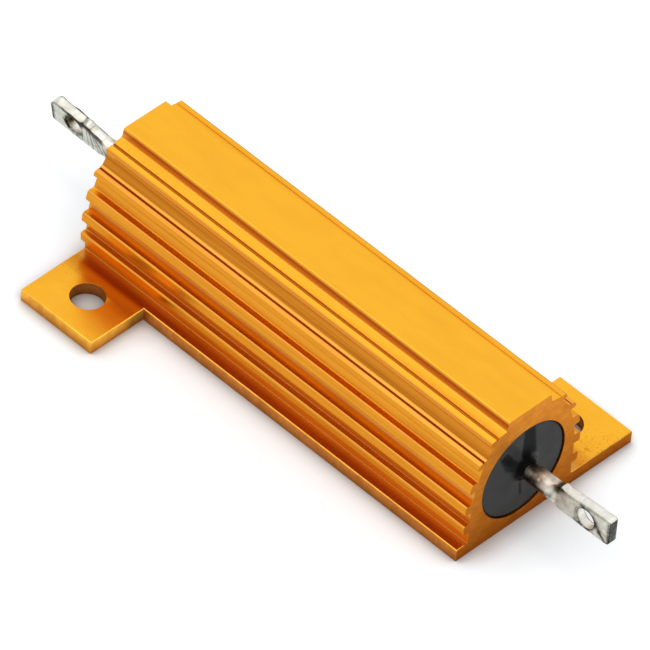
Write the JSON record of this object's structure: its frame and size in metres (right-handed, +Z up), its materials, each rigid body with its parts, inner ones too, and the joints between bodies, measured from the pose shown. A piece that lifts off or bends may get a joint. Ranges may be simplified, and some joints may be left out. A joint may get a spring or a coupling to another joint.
{
  "type": "aluminium housed resistor",
  "caption": "Wirewound power resistor in a ribbed, anodised aluminium housing with diagonal mounting feet and a pierced solder terminal at each end.",
  "frame": {"origin": "middle of the flat underside, halfway between the sawn ends and halfway between the two mounting holes", "axes": "+X along the bore towards the front terminal; +Z up, away from the mounting face; the foot at the +X end reaches out to +Y and the foot at the -X end to -Y"},
  "size_m": [0.0712, 0.0292, 0.0142],
  "materials": {
    "anodised_aluminium": "gold anodised, satin, with fine extrusion lines; sawn matte ends",
    "silicone_compound": "black, smooth, slightly glossy",
    "ceramic": "unglazed, off-white",
    "resistance_alloy": "drawn ribbon, dull",
    "cap_steel": "pressed, plain",
    "tinned_wire": "dull bright tin, with press marks"
  },
  "bodies": {
    "root": {"housing": "anodised_aluminium", "moulding": "silicone_compound", "ceramic_core": "ceramic", "resistance_winding": "resistance_alloy", "cap_front": "cap_steel", "cap_back": "cap_steel", "terminal_front": "tinned_wire", "terminal_back": "tinned_wire"}
  },
  "joints": []
}
